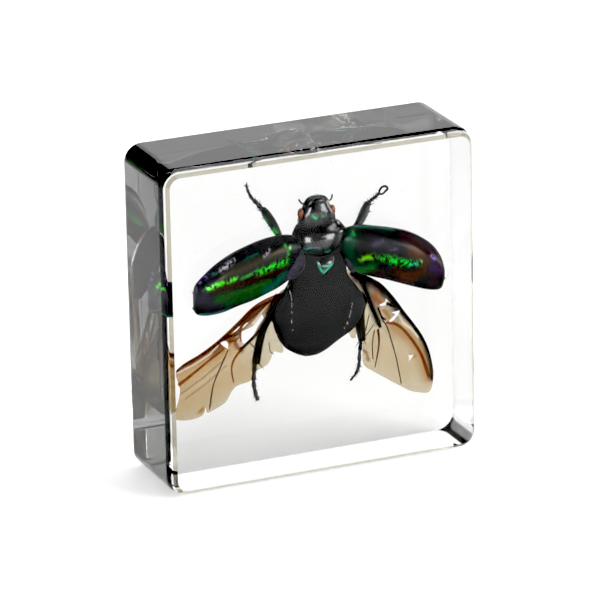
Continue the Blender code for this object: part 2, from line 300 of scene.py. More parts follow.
casting_resin, resin_tree, resin_shader = new_material("casting_resin", Roughness=0.0, IOR=RESIN_IOR,
                                                       Transmission_Weight=1.0)
dress(resin_shader, Base_Color=painted(resin_tree, "tint_and_painted_shade"))
resin_body = add(resin_tree, "VolumeAbsorption", {"Color": linear(ABSORBED_TINT),
                                                  "Density": ABSORBED_PER_METRE})
resin_tree.links.new(resin_body.outputs["Volume"], resin_tree.nodes["Material Output"].inputs["Volume"])
block_depth = (BLOCK_HIGH.y - BLOCK_LOW.y) * MM
print("light left after the block's depth:", round(math.exp(-block_depth * ABSORBED_PER_METRE), 2))

# %% [markdown]
# ## The block
# A block with rounded long edges and cut rims is a loft of rounded rectangles. Each line of a rim
# gives a depth behind the face and how far the section is drawn in there. The front rim is a flat
# facet at 45 degrees and then a short curve into the sides, and the back rim is a small facet. The
# flat faces must shade perfectly flat, or the beetle behind them would look bent, so the normals are
# weighted by face area.

# %% Build the block
CORNER_RADIUS = 4.1
CORNER_STEPS = 14
FRONT_RIM = [(0.0, 1.5), (0.75, 0.75), (1.3, 0.48), (1.9, 0.29), (2.5, 0.13), (3.0, 0.03), (3.3, 0.0)]
BACK_RIM = [(0.0, 1.4), (0.4, 0.0)]
FACET_SLOPES = (0.69, 0.72)    # how much a facet cut at 45 degrees faces the front, about 0.707
SIDE_SLOPE = 0.1


def block_ring(y, inset):
    """A rounded rectangle, the block's section at depth y, drawn in by the inset."""
    radius = CORNER_RADIUS - inset
    x_far, z_low, z_far = BLOCK_HIGH.x - inset - radius, inset + radius, BLOCK_HIGH.z - inset - radius
    corners = ((x_far, z_far, 0), (-x_far, z_far, 90), (-x_far, z_low, 180), (x_far, z_low, 270))
    ring = []
    for x, z, start in corners:
        for step in range(CORNER_STEPS + 1):
            angle = math.radians(start + 90 * step / CORNER_STEPS)
            ring.append((x + radius * math.cos(angle), y, z + radius * math.sin(angle)))
    return ring


rings = [block_ring(BLOCK_LOW.y + depth, inset) for depth, inset in FRONT_RIM]
rings += [block_ring(BLOCK_HIGH.y - depth, inset) for depth, inset in reversed(BACK_RIM)]
block = piece("resin_block", skin(rings), casting_resin, ("resin_front", "resin_back"),
              sharp=20)
tints_and_painted_shades = block.data.color_attributes.new("tint_and_painted_shade", "FLOAT_COLOR", "CORNER")
for face in block.data.polygons:
    slope = abs(face.normal.y)
    tint = CLEAR
    if FACET_SLOPES[0] < slope < FACET_SLOPES[1] and face.center.y < 0:
        tint = CUT_RIM
    # The sawn sides get the grey of painted shade
    elif slope < SIDE_SLOPE:
        tint = SIDE_PAINTED_SHADE
    for corner in face.loop_indices:
        tints_and_painted_shades.data[corner].color = linear(tint)
flatten = block.modifiers.new("flat faces", "WEIGHTED_NORMAL")
flatten.weight = 100
flatten.keep_sharp = True

# %% [markdown]
# ## Beetle cuticle
# A scarab's shell is black cuticle, and its clear outer layer shines like varnish. Fine leathery grain
# of about 0.2 mm dulls the black a little, and the shell is never quite even, so a wider swell of about
# 1 mm breaks up the highlights. The back of the hind body lies under the wing cases in life: it has no
# clear layer and is matt. The legs are between the two.

# %% Black cuticle materials
GRAIN_MM = 0.2
UNEVEN_MM = 1.1
TONE_MM = 1.6                  # patches of darker and lighter black
SWELL = 4                      # the swell is this many times as deep as the grain


def cuticle(name, roughness, grain_depth, coat):
    """Black cuticle with fine grain of the given depth in mm, in the colours washed on the mesh."""
    made, tree, shader = new_material(name, Roughness=roughness, IOR=1.56, Coat_Weight=coat,
                                      Coat_Roughness=0.04)
    grain = texture(tree, "Noise", GRAIN_MM, Detail=3.0)
    uneven = texture(tree, "Noise", UNEVEN_MM, Detail=2.0)
    swell = bump(tree, uneven.outputs["Fac"], SWELL * grain_depth)
    dress(shader, Base_Color=patchy(tree, painted(tree), TONE_MM, (0.7, 1.3), detail=4.0),
          Normal=bump(tree, grain.outputs["Fac"], grain_depth, Normal=swell), Coat_Normal=swell)
    return made


glossy_cuticle = cuticle("glossy_black_cuticle", 0.16, 0.012, 1.0)
matt_cuticle = cuticle("matt_black_cuticle", 0.75, 0.002, 0.0)
leg_cuticle = cuticle("leg_cuticle", 0.3, 0.01, 0.1)
print("cuticle grain", GRAIN_MM, "mm, swell", UNEVEN_MM, "mm")

# %% [markdown]
# ## The trunk
# Head, pronotum (the shield behind the head) and hind body are lofted through stations. A station
# gives its height z, the middle x, the half width, and the y of the back and of the belly. An oval
# section would be too round: a squareness under 1 pushes it out towards a rectangle. The hind body
# gets the grooves between its rings. Teal glints are washed on the head and on the rear edge of the
# pronotum.

# %% Trunk stations and loft
HEAD = [(61.7, 3.7, 0.5, 7.9, 8.4), (61.5, 3.7, 1.4, 7.1, 8.8), (61.1, 3.7, 2.2, 6.5, 9.1),
        (60.4, 3.7, 2.85, 6.05, 9.4), (59.5, 3.6, 3.2, 5.75, 9.6), (58.7, 3.6, 3.6, 5.6, 9.7),
        (57.8, 3.6, 4.1, 5.5, 9.8), (56.4, 3.6, 4.5, 5.5, 9.9), (55.0, 3.6, 4.5, 5.6, 10.0),
        (53.8, 3.6, 4.4, 5.7, 10.1)]
PRONOTUM = [(55.7, 3.7, 3.9, 5.8, 9.8), (55.4, 3.7, 4.9, 5.1, 10.0), (54.5, 3.8, 5.7, 4.3, 10.3),
            (53.3, 3.9, 6.4, 3.5, 10.6), (52.2, 3.8, 6.4, 3.2, 10.8), (51.2, 3.8, 6.3, 3.1, 10.9),
            (50.2, 3.8, 5.8, 3.15, 10.9), (49.2, 3.8, 4.9, 3.4, 10.7), (48.4, 3.8, 3.6, 3.8, 10.4),
            (47.9, 3.8, 1.9, 4.4, 10.1)]
HIND_BODY = [(50.7, 3.8, 5.2, 5.4, 10.4), (47.3, 3.8, 6.9, 4.4, 11.0), (43.9, 3.7, 6.9, 4.2, 11.0),
             (41.7, 3.7, 7.4, 4.2, 11.0), (38.3, 3.7, 9.8, 4.3, 11.0), (34.9, 3.7, 11.3, 4.6, 11.0),
             (31.7, 3.6, 10.7, 5.0, 10.9), (28.7, 3.1, 9.0, 5.6, 10.5), (26.7, 2.0, 6.5, 6.2, 9.9),
             (24.9, 1.9, 3.8, 7.1, 9.4), (23.9, 1.9, 1.6, 8.0, 9.0)]
TRUNK_SIDES = 56
GROOVE_WIDTH, GROOVE_DEPTH = 0.22, 0.15
GROOVES = (38.9, 35.7, 32.7, 30.1, 27.7)


def rounded(value, squareness):
    """A sine or cosine, pushed out towards 1 or -1 when the squareness is under 1."""
    return math.copysign(abs(value) ** squareness, value)


def trunk(stations, squareness, grooves=()):
    """A loft through stations, with ring grooves at the given heights."""
    turns = np.linspace(0, 2 * math.pi, TRUNK_SIDES, endpoint=False)
    rings = []
    for z, middle, half, back, belly in smooth(stations, 8):
        grooved = sum(math.exp(-((z - groove) / GROOVE_WIDTH) ** 2) for groove in grooves)
        pinch = 1 - GROOVE_DEPTH / max(half, 1.0) * grooved
        depth = (belly - back) / 2
        rings.append([(middle + half * pinch * rounded(math.cos(a), squareness),
                       (back + belly) / 2 + depth * pinch * rounded(math.sin(a), squareness), z)
                      for a in turns])
    return skin(rings)


# %% Hind body, pronotum and head
hind_body = piece("hind_body", trunk(HIND_BODY, 0.9, GROOVES), matt_cuticle)
wash(hind_body.data, "marks", "#0B0B0D", [([(-4.9, 28.6), (0.0, 26.6), (6.2, 27.8)], 0.4, "#222226", 0.8)])
pronotum = piece("pronotum", trunk(PRONOTUM, 0.85), glossy_cuticle)
wash(pronotum.data, "marks", "#121316", [
    ([(-0.6, 50.4), (0.6, 50.4), (3.0, 50.3)], 0.22, "#0B5A58", 0.7),
    ([(0.1, 50.3), (0.9, 50.4)], 0.34, "#2A8A84", 0.8),
    ([(0.4, 49.3), (2.4, 48.9), (6.0, 49.2)], 0.2, "#0B3A38", 0.7),
    ([(4.9, 49.0), (5.6, 49.2)], 0.36, "#0B6A56", 0.8)])
head = piece("head", trunk(HEAD, 0.75), glossy_cuticle)
wash(head.data, "marks", "#0B0C0F", [
    ([(2.4, 57.3), (2.7, 56.7)], 0.36, "#12D084", 1.0),
    ([(4.5, 57.0), (5.1, 56.9)], 0.32, "#0B7E60", 1.0),
    ([(1.6, 61.2), (2.6, 61.7)], 0.3, "#0B4A34", 0.7)])

# %% [markdown]
# ## Eyes and feelers
# The eyes sit on the sides of the head and are amber brown in a dried beetle. Close up they are made
# of facets of about 0.1 mm. The feelers are folded under the head, so only their tips show.

# %% Eyes and feelers
EYE_RADIUS = 1.3
EYE_WIDTH = 0.6                # share of its height
EYES = {"left": (-0.35, 6.9, 58.0), "right": (7.25, 6.9, 57.8)}
FACET_MM, FACET_DEPTH = 0.12, 0.01
AMBER, DARK_AMBER = "#A8602C", "#5A2E14"

eye_lens, eye_tree, eye_shader = new_material("eye_lens", Roughness=0.25, IOR=1.5, Coat_Weight=0.5)
facets = texture(eye_tree, "Voronoi", FACET_MM).outputs["Distance"]
dress(eye_shader, Base_Color=blend(eye_tree, facets, AMBER, DARK_AMBER),
      Normal=bump(eye_tree, facets, FACET_DEPTH, invert=True, Strength=0.5))

for side, (x, y, z) in EYES.items():
    heights = np.linspace(-1, 1, 17)
    profile = [(x, y, z + h * EYE_RADIUS) for h in heights]
    radii = [max(0.02, EYE_RADIUS * EYE_WIDTH * math.sqrt(max(0.0, 1 - h * h))) for h in heights]
    piece("eye_" + side, tube(profile, radii, 24), eye_lens)

FEELERS = {"left": [(2.2, 7.9, 59.4), (0.6, 7.7, 60.0), (-0.1, 7.6, 60.5), (-0.6, 7.6, 61.3)],
           "right": [(5.2, 7.9, 59.2), (7.0, 7.7, 60.0), (7.4, 7.6, 60.6), (7.5, 7.6, 61.3)]}
FEELER_RADIUS, BEAD_SWELL, BEAD_TURN = 0.2, 0.06, 2.1      # beads: a sine of 2.1 radians per ring
for side, line in FEELERS.items():
    path = smooth(line, 6)
    beads = FEELER_RADIUS + BEAD_SWELL * np.sin(np.arange(len(path)) * BEAD_TURN)
    feeler = piece("feeler_" + side, tube(path, beads, 8), leg_cuticle)
    wash(feeler.data, "marks", "#141316", [])

# %% [markdown]
# ## Scutellum and hinge lobes
# The scutellum is the small triangle between the wing cases, here with teal gleams on its folds. Where
# a wing case is lifted, its soft hinge shows as a grey and violet lobe beside the thorax.

# %% Scutellum
SCUTELLUM = [(47.4, 4.7, 2.3, 4.3, 5.4), (46.2, 4.7, 2.2, 3.9, 5.3), (45.0, 4.6, 1.6, 3.8, 5.3),
             (43.6, 4.3, 0.5, 4.0, 5.2)]
scutellum = piece("scutellum", trunk(SCUTELLUM, 0.8), glossy_cuticle)
wash(scutellum.data, "marks", "#141619", [
    ([(2.8, 46.4), (3.4, 44.8), (4.2, 44.0), (5.2, 44.8), (6.4, 45.6)], 0.26, "#12B58C", 1.0),
    ([(4.0, 45.6), (5.4, 45.4), (6.4, 45.7)], 0.2, "#18C8A0", 0.9)])

# %% Hinge lobes
HINGE_LOBES = {
    "left": ([(-2.1, 5.0, 51.3), (-1.7, 4.7, 48.9), (-1.7, 4.7, 46.6), (-3.2, 5.0, 44.7),
              (-4.6, 5.5, 43.6)], [0.5, 1.3, 1.7, 1.4, 0.5]),
    "right": ([(10.1, 5.6, 52.0), (10.1, 5.3, 49.9), (10.5, 5.3, 46.9), (11.1, 5.6, 44.3),
               (12.1, 5.9, 42.7)], [0.6, 0.9, 1.0, 0.9, 0.4])}
LOBE_MIDDLE, LOBE_FLATNESS = 5.0, 0.5      # the y that the lobes are flattened towards, and by how much
CREASE_MM, CREASE_DEPTH = 0.9, 0.08
soft_cuticle, soft_tree, soft_shader = new_material("soft_hinge_cuticle", Roughness=0.55, IOR=1.45)
creases = texture(soft_tree, "Noise", CREASE_MM, Detail=5.0, Roughness=0.65).outputs["Fac"]
dress(soft_shader, Base_Color=blend(soft_tree, fade(soft_tree, creases, 0.4, 0.62), "#16151A", "#3C3A4E"),
      Normal=bump(soft_tree, creases, CREASE_DEPTH))
for side, (line, radii) in HINGE_LOBES.items():
    path = smooth([(*point, radius) for point, radius in zip(line, radii)], 8)
    corners, faces = tube(path[:, :3], path[:, 3], 28)
    corners[:, 1] = LOBE_MIDDLE + (corners[:, 1] - LOBE_MIDDLE) * LOBE_FLATNESS
    piece("hinge_lobe_" + side, (corners, faces), soft_cuticle)

# %% [markdown]
# ## Wing cases
# A wing case is a stiff dome, 0.35 mm thick, with a rolled margin. Its colour is a mirror colour: thin
# layers in the shell send back green head-on, and violet or copper where the shell turns away. So
# the shader is half metallic, with a weak specular of its own and a thin clear coat. Its colours
# don't change with the view, though: each gleam is a painted reflection, laid as a mark along the line
# where the real one lies, and noise breaks it up in flecks. They are drawn just coarse enough to show.
# A few white, grey and violet spots among them are painted highlights. Wrinkles and pits make the
# coat's highlights uneven.

# %% Wing case materials
iridescent, case_tree, case_shader = new_material(
    "iridescent_wing_case", Roughness=0.34, Metallic=0.5, IOR=1.56, Specular_IOR_Level=0.15,
    Coat_Weight=0.25, Coat_Roughness=0.08)
FLECK_MM, MOTTLE_MM, WRINKLE_MM, PIT_MM = 0.6, 0.5, 1.3, 0.3
FLECK_EDGE = (0.45, 0.51)      # noise values between which a fleck lights up
LINING_TONE_MM = 1.5
WRINKLE_DEPTH, PIT_DEPTH = 0.1, 0.006
case_place = add(case_tree, "TexCoord")
stretch = add(case_tree, "Mapping", {"Vector": case_place.outputs["Object"], "Scale": (1.0, 1.0, 0.6),
                                     "Rotation": (0.0, 0.25, 0.0)})
flecks = texture(case_tree, "Noise", FLECK_MM, stretch.outputs["Vector"], Detail=2.0, Roughness=0.6)
broken = fade(case_tree, flecks.outputs["Fac"], *FLECK_EDGE)
# The gleams, which are painted reflections, broken in flecks
lit = add(case_tree, "VectorMath", {0: painted(case_tree, "gleam"), "Scale": broken}, operation="SCALE")
toned = patchy(case_tree, painted(case_tree), MOTTLE_MM, (0.65, 1.35), detail=4.0)
mixed = add(case_tree, "VectorMath", {0: toned, 1: lit.outputs["Vector"]}, operation="ADD")
pits = texture(case_tree, "Voronoi", PIT_MM)
wrinkles = texture(case_tree, "Noise", WRINKLE_MM, stretch.outputs["Vector"], Detail=3.0)
wrinkled = bump(case_tree, wrinkles.outputs["Fac"], WRINKLE_DEPTH)
pitted = bump(case_tree, pits.outputs["Distance"], PIT_DEPTH, Strength=0.6, Normal=wrinkled)
dress(case_shader, Base_Color=mixed.outputs["Vector"], Normal=pitted, Coat_Normal=pitted)

# The hollow underside is plain matt black cuticle
case_lining = patchy_material("wing_case_lining", "#141416", LINING_TONE_MM, Roughness=0.6, IOR=1.5)
print("gleams are broken in flecks of", FLECK_MM, "mm")

# %% Wing case shape
CASE_CROWN, CASE_THICKNESS = 3.4, 0.35
CREST_POWER = 0.68             # under 1, so that the crest lies nearer to the upper edge
CROSS_POWER = 0.8              # under 1, so that the dome is fuller towards its edges
RISE_START, RISE_SPAN = 0.15, 0.7      # the part of a half wave that the dome follows along the case
CASE_ROWS, CASE_COLUMNS = 130, 56
TIP_START = 0.72               # share of the length at which a case starts to round off
BEAD_RADIUS, BEAD_PLACE, BEAD_WIDTH = 0.14, 0.015, 0.012   # the rolled margin: shares of the width
LEFT_CASE = {
    "upper": [(-1.2, 52.5), (-3.3, 53.7), (-6.4, 54.0), (-9.9, 53.6), (-13.7, 52.6), (-17.6, 51.2),
              (-21.1, 49.3), (-23.9, 47.2), (-25.6, 45.6), (-26.2, 44.6), (-26.5, 43.2)],
    "lower": [(-1.2, 46.1), (-3.3, 43.6), (-6.2, 41.8), (-9.3, 40.6), (-12.6, 39.5), (-16.1, 38.7),
              (-19.3, 37.8), (-22.4, 37.5), (-24.7, 37.7), (-26.0, 38.4), (-26.5, 39.8)]}
RIGHT_CASE = {
    "upper": [(8.4, 51.9), (10.3, 53.4), (13.5, 53.7), (17.6, 52.8), (21.5, 51.8), (25.1, 50.5),
              (28.4, 48.6), (31.2, 46.3), (33.0, 43.6), (33.7, 41.4), (33.9, 39.9)],
    "lower": [(8.6, 47.1), (9.9, 45.2), (12.5, 42.6), (15.9, 41.1), (19.6, 39.8), (23.3, 38.3),
              (27.1, 36.8), (30.4, 35.7), (32.8, 35.5), (33.7, 36.6), (33.9, 38.1)]}


def wing_case(name, edges, edge_y):
    """A domed shell between its upper and lower edge, from the hinge to the tip."""
    steps = np.linspace(0, 1, CASE_ROWS)
    upper, lower = [np.array([np.interp(steps, np.linspace(0, 1, len(c)), c[:, k]) for k in (0, 1)]).T
                    for c in (smooth(edges["upper"], 12), smooth(edges["lower"], 12))]
    shares = (1 - np.cos(np.linspace(0, math.pi, CASE_COLUMNS))) / 2
    corners = []
    for k, along in enumerate(steps):
        closing = math.sqrt(max(0.0, 1 - max(0.0, (along - TIP_START) / (1 - TIP_START)) ** 2))
        rise = CASE_CROWN * math.sin(math.pi * (RISE_START + RISE_SPAN * along)) * closing
        margin_y = edge_y[0] + (edge_y[1] - edge_y[0]) * along
        for share in shares:
            x, z = upper[k] + (lower[k] - upper[k]) * share
            bead = BEAD_RADIUS * sum(math.exp(-((share - place) / BEAD_WIDTH) ** 2)
                                     for place in (BEAD_PLACE, 1 - BEAD_PLACE))
            dome = rise * math.sin(math.pi * share ** CREST_POWER) ** CROSS_POWER
            corners.append((x, margin_y - dome - bead, z))
    faces = [(r * CASE_COLUMNS + k, r * CASE_COLUMNS + k + 1, (r + 1) * CASE_COLUMNS + k + 1,
              (r + 1) * CASE_COLUMNS + k) for r in range(CASE_ROWS - 1) for k in range(CASE_COLUMNS - 1)]
    made = piece(name, (np.array(corners), faces), iridescent)
    if sum(face.normal.y for face in made.data.polygons) > 0:
        made.data.flip_normals()
    made.data.materials.append(case_lining)
    shell = made.modifiers.new("shell", "SOLIDIFY")
    shell.thickness = CASE_THICKNESS * MM
    shell.offset = -1.0
    shell.material_offset = 1
    return made


left_case = wing_case("wing_case_left", LEFT_CASE, (5.7, 7.6))
right_case = wing_case("wing_case_right", RIGHT_CASE, (5.7, 5.2))

# %% Gleams of the wing cases
MAROON, OLIVE, NIGHT, SLATE = "#35200F", "#34301A", "#1A1A20", "#34323F"
# The white of the painted highlights on the left wing case
PAINTED_HIGHLIGHT = "#F0EEFA"
wash(left_case.data, "marks", NIGHT, [
    ([(-25.9, 45.5), (-24.1, 47.3), (-21.7, 49.1)], 1.2, "#201634", 0.8),
    ([(-25.9, 42.2), (-22.9, 41.0), (-19.5, 40.3)], 1.4, SLATE, 1.0),
    ([(-20.3, 47.0), (-12.3, 49.0), (-5.1, 50.8)], 1.1, OLIVE, 0.9),
    ([(-20.9, 41.6), (-14.9, 42.3), (-9.3, 43.5)], 1.3, "#2A6E24", 1.0),
    ([(-18.5, 40.2), (-13.0, 40.9), (-9.0, 42.2)], 1.1, "#1C5E22", 1.0),
    ([(-9.4, 41.5), (-6.9, 43.0), (-5.5, 44.9)], 1.1, "#067052", 1.0),
    ([(-22.1, 43.9), (-16.1, 44.5), (-10.8, 45.4), (-5.7, 46.2)], 0.95, MAROON, 1.0),
    ([(-25.2, 38.1), (-21.8, 37.9), (-17.8, 38.4)], 0.22, "#1F8C80", 0.9)])
# Painted reflections of the light: green gleams along the crest, with white, grey and violet painted
# highlights
wash(left_case.data, "gleam", "#000000", [
    ([(-23.7, 44.5), (-22.2, 44.9), (-20.3, 45.4), (-17.2, 46.0)], 0.48, "#4CFF10", 1.0),
    ([(-15.8, 45.8), (-14.6, 46.1), (-12.4, 46.9)], 0.28, "#2AC81C", 0.9),
    ([(-11.4, 46.7), (-8.3, 47.4), (-5.1, 48.1)], 0.7, "#22FF1E", 1.0),
    ([(-4.4, 49.5), (-3.9, 51.3), (-5.1, 51.9)], 0.3, "#18C82C", 0.9),
    ([(-15.0, 50.1), (-11.6, 50.8)], 0.3, "#0F6B50", 0.8),
    ([(-22.2, 47.5), (-20.6, 48.3)], 0.3, "#1A7A74", 0.8),
    ([(-20.2, 48.2), (-19.2, 48.9), (-18.1, 49.6)], 0.5, PAINTED_HIGHLIGHT, 1.0),
    ([(-17.3, 50.1), (-17.1, 50.3)], 0.25, PAINTED_HIGHLIGHT, 1.0),
    ([(-10.2, 50.2), (-9.5, 50.8), (-9.0, 51.4)], 0.3, "#A8A8B4", 1.0),
    ([(-25.3, 45.5), (-25.0, 45.8)], 0.25, "#8A7CD0", 1.0),
    ([(-24.1, 46.7), (-23.8, 46.9)], 0.25, "#8A7CD0", 1.0)])
wash(right_case.data, "marks", "#101013", [
    ([(15.8, 49.9), (18.5, 49.0), (21.1, 47.4)], 0.8, SLATE, 0.5),
    ([(23.9, 49.6), (27.5, 47.9), (29.7, 45.2), (31.7, 41.6), (30.9, 38.3)], 1.2, "#32141F", 1.0),
    ([(25.6, 46.3), (28.5, 43.5), (27.9, 40.7), (24.5, 39.3)], 1.3, "#4E2A10", 0.9),
    ([(21.8, 41.4), (25.5, 39.7)], 1.1, "#5A2A10", 0.9),
    ([(15.7, 42.6), (21.3, 40.8)], 1.1, "#221610", 0.9),
    ([(11.0, 52.3), (10.4, 48.6), (11.8, 44.1)], 1.4, "#0C4A30", 0.9),
    ([(12.0, 42.9), (14.2, 43.0), (15.9, 43.5)], 1.0, "#147A26", 0.9),
    ([(30.2, 41.8), (32.4, 40.3)], 0.8, "#40265A", 0.9),
    ([(12.0, 53.6), (16.6, 52.9), (21.4, 51.5)], 0.2, "#147A5E", 0.8)])
# Painted reflections of the light: green gleams along the crest, a violet painted highlight and grey
# painted sheen
wash(right_case.data, "gleam", "#000000", [
    ([(13.4, 45.9), (14.8, 46.2), (16.1, 46.1)], 0.6, "#84FF08", 1.0),
    ([(17.9, 45.6), (20.6, 45.0)], 0.65, "#30FF28", 1.0),
    ([(20.9, 44.4), (22.8, 43.8), (24.6, 43.4)], 0.75, "#18FF38", 1.0),
    ([(25.0, 43.0), (27.8, 43.2)], 0.55, "#18F090", 1.0),
    ([(11.3, 52.3), (11.4, 52.0)], 0.4, "#30C050", 0.9),
    ([(30.0, 44.4), (31.0, 43.4)], 0.35, "#9A86E8", 1.0),
    ([(16.2, 48.8), (18.2, 49.5)], 0.6, "#3C3A4C", 1.0),
    ([(19.9, 47.3), (21.6, 47.3)], 0.4, "#3C3A4C", 1.0)])
print("washed", left_case.name, "and", right_case.name)

# %% [markdown]
# ## Wings
# A beetle's wing is a single clear brown membrane, stiffened by a few veins and folded under the wing
# case when at rest. This pair has torn edges and small gaps at the fold. The outline is filled with
# triangles, so that the gaps are real holes, and then given a little thickness.
# A wing in resin hardly bends the light, because its own index is close to that of the resin around
# it. It only tints the light, so it gets full transmission and an index just over 1, and its colour
# does the rest: pale cream, browner along the veins and the front margin.

# %% Wing membrane material
WING_IOR = 1.01
CELL_MM, VEIN_TONE_MM = 0.6, 0.8
membrane, wing_tree, wing_shader = new_material("wing_membrane", Roughness=0.0, IOR=WING_IOR,
                                                Transmission_Weight=1.0)
wing_tint = patchy(wing_tree, painted(wing_tree), CELL_MM, (0.86, 1.08), 6.0, 0.8)
dress(wing_shader, Base_Color=wing_tint)
vein_cuticle = patchy_material("vein_cuticle", None, VEIN_TONE_MM, Roughness=0.1, IOR=WING_IOR,
                               Transmission_Weight=1.0)
print("wing materials:", membrane.name, vein_cuticle.name)

# %% Wing shape helpers
WING_THICKNESS, WING_MESH = 0.1, 0.35
ROW_STEP = 0.87                # rows of even triangles lie this share of their side apart
ROOT_Y = 7.1                   # depth at which both wings leave the body
CREAM = "#D2C8B0"


def inside(x, z, loop):
    """Whether each point lies in a closed loop of (x, z) points."""
    found = np.zeros(len(x), bool)
    for (x0, z0), (x1, z1) in zip(loop, np.roll(loop, -1, axis=0)):
        crosses = (z0 > z) != (z1 > z)
        with np.errstate(divide="ignore", invalid="ignore"):
            found ^= crosses & (x < (x1 - x0) * (z - z0) / (z1 - z0) + x0)
    return found


def wing_depth(x, reach):
    """The y of a wing, which leans back from its root to its tip: reach is root x, tip x, tip y."""
    root_x, tip_x, tip_y = reach
    return ROOT_Y + (tip_y - ROOT_Y) * np.clip((x - root_x) / (tip_x - root_x), 0, 1)


def wing(name, outline, gaps, reach, marks):
    """A membrane with gaps, filled with triangles of about WING_MESH."""
    edge = smooth(outline, 3, closed=True)
    loops = [edge] + [np.array(gap, float) for gap in gaps]
    low, high = edge.min(axis=0), edge.max(axis=0)
    grid = np.array([(x + (row % 2) * WING_MESH / 2, z)
                     for row, z in enumerate(np.arange(low[1], high[1], WING_MESH * ROW_STEP))
                     for x in np.arange(low[0], high[0], WING_MESH)])
    keep = inside(grid[:, 0], grid[:, 1], edge)
    points = [Vector(p) for loop in loops for p in loop] + [Vector(p) for p in grid[keep]]
    borders, start = [], 0
    for loop in loops:
        borders += [(start + k, start + (k + 1) % len(loop)) for k in range(len(loop))]
        start += len(loop)
    flat, _, triangles, *_ = geometry.delaunay_2d_cdt(points, borders, [], 0, 1e-5)
    flat = np.array([tuple(p) for p in flat])
    middle = np.array([flat[list(t)].mean(axis=0) for t in triangles])
    shown = inside(middle[:, 0], middle[:, 1], edge)
    for gap in loops[1:]:
        shown &= ~inside(middle[:, 0], middle[:, 1], gap)
    depth = wing_depth(flat[:, 0], reach)
    corners = np.column_stack([flat[:, 0], depth, flat[:, 1]])
    made = piece(name, (corners, [tuple(t) for t, show in zip(triangles, shown) if show]), membrane)
    bm = bmesh.new()
    bm.from_mesh(made.data)
    bmesh.ops.delete(bm, geom=[v for v in bm.verts if not v.link_faces], context="VERTS")
    bm.to_mesh(made.data)
    bm.free()
    wash(made.data, "marks", CREAM, marks)
    sheet = made.modifiers.new("sheet", "SOLIDIFY")
    sheet.thickness = WING_THICKNESS * MM
    sheet.offset = 0.0
    return made


def veins(name, lines, reach):
    """Veins as tapered tubes: each line has its points (x, z), two radii and a colour."""
    shapes, colours = [], []
    for line, radius_from, radius_to, colour in lines:
        path = smooth(line, 6)
        spots = np.column_stack([path[:, 0], wing_depth(path[:, 0], reach), path[:, 1]])
        shapes.append(tube(spots, np.linspace(radius_from, radius_to, len(spots)), 8))
        colours.append(np.tile(linear(colour), (len(shapes[-1][0]), 1)))
    made = piece(name, join(shapes), vein_cuticle)
    layer = made.data.color_attributes.new("marks", "FLOAT_COLOR", "POINT")
    layer.data.foreach_set("color", np.vstack(colours).astype(np.float32).ravel())
    return made


print("wing sheets are", WING_THICKNESS, "mm thick, in triangles of", WING_MESH, "mm")

# %% Left wing
LEFT_REACH = (-7.2, -29.0, 10.0)
LEFT_WING = [(-4.8, 40.9), (-7.3, 38.9), (-12.1, 37.4), (-15.7, 34.3), (-20.4, 30.5), (-25.0, 27.9),
             (-28.6, 26.2), (-30.4, 25.0), (-30.4, 23.2), (-29.6, 20.6), (-30.2, 17.4), (-31.1, 15.2),
             (-30.9, 13.5), (-27.7, 12.9), (-24.5, 13.6), (-23.9, 15.3), (-23.5, 14.1), (-22.5, 14.3),
             (-19.6, 15.6), (-18.5, 16.8), (-17.5, 18.5), (-16.1, 19.6), (-12.8, 20.4), (-12.2, 22.2),
             (-9.0, 23.7), (-7.6, 26.5), (-6.8, 26.3), (-5.5, 26.0), (-5.2, 27.1), (-6.2, 30.2),
             (-4.2, 32.6), (-3.2, 37.3)]
LEFT_GAPS = [[(-10.1, 35.7), (-12.2, 33.2), (-14.9, 32.2), (-15.1, 30.3), (-14.6, 29.3), (-13.6, 29.6),
              (-12.2, 31.0), (-11.1, 33.0), (-9.7, 34.8)],
             [(-17.9, 32.2), (-16.9, 33.0), (-15.7, 33.7), (-15.3, 33.4), (-16.1, 32.6), (-17.6, 31.9)],
             [(-20.3, 30.5), (-18.5, 30.5), (-18.1, 29.6), (-18.2, 28.5), (-19.3, 29.4)],
             [(-14.6, 33.8), (-13.2, 34.3), (-14.1, 33.4), (-15.0, 32.8)]]
BROWN, DARK, PALE = "#B07238", "#7A4826", "#EEE4CE"
# The sheet is flat, so these marks also carry the light and dark of its folds: the pale lines beside the
# front veins are painted highlights, and part of the brown along the folds is painted shade.
wing("wing_left", LEFT_WING, LEFT_GAPS, LEFT_REACH, [
    ([(-15.2, 23.2), (-23.2, 19.2), (-30.2, 16.6)], 4.0, "#C4A878", 0.7),
    ([(-18.2, 28.5), (-26.0, 24.3), (-31.2, 21.0)], 2.2, "#C09A62", 0.8),
    ([(-3.5, 39.7), (-7.6, 38.6), (-11.6, 37.0), (-15.5, 33.6)], 1.1, "#50290F", 1.0),
    ([(-15.5, 33.6), (-19.6, 30.2), (-24.1, 27.4), (-30.2, 24.8)], 0.9, "#8A5428", 1.0),
    ([(-8.2, 37.9), (-13.8, 34.2), (-17.6, 31.2), (-21.8, 28.0)], 1.1, "#7A4820", 0.9),
    ([(-20.6, 29.6), (-22.5, 27.8), (-26.4, 25.8), (-31.2, 24.0)], 0.22, PALE, 0.9),
    ([(-7.5, 39.3), (-10.1, 36.3), (-12.2, 33.8)], 0.25, PALE, 0.9),
    ([(-19.2, 26.1), (-24.2, 22.5), (-29.6, 19.3)], 0.2, "#8E744A", 0.7),
    ([(-18.8, 24.6), (-23.8, 20.8), (-28.5, 18.0)], 0.2, "#9C8052", 0.7),
    ([(-17.7, 30.1), (-16.8, 30.8), (-16.1, 28.7), (-15.0, 27.8)], 0.55, "#8A4A12", 0.9),
    ([(-25.1, 14.5), (-24.5, 15.1)], 0.5, "#B07A1E", 0.9),
    ([(-7.8, 37.7), (-9.1, 34.7), (-11.1, 31.4)], 0.7, "#5A2E10", 0.9)])
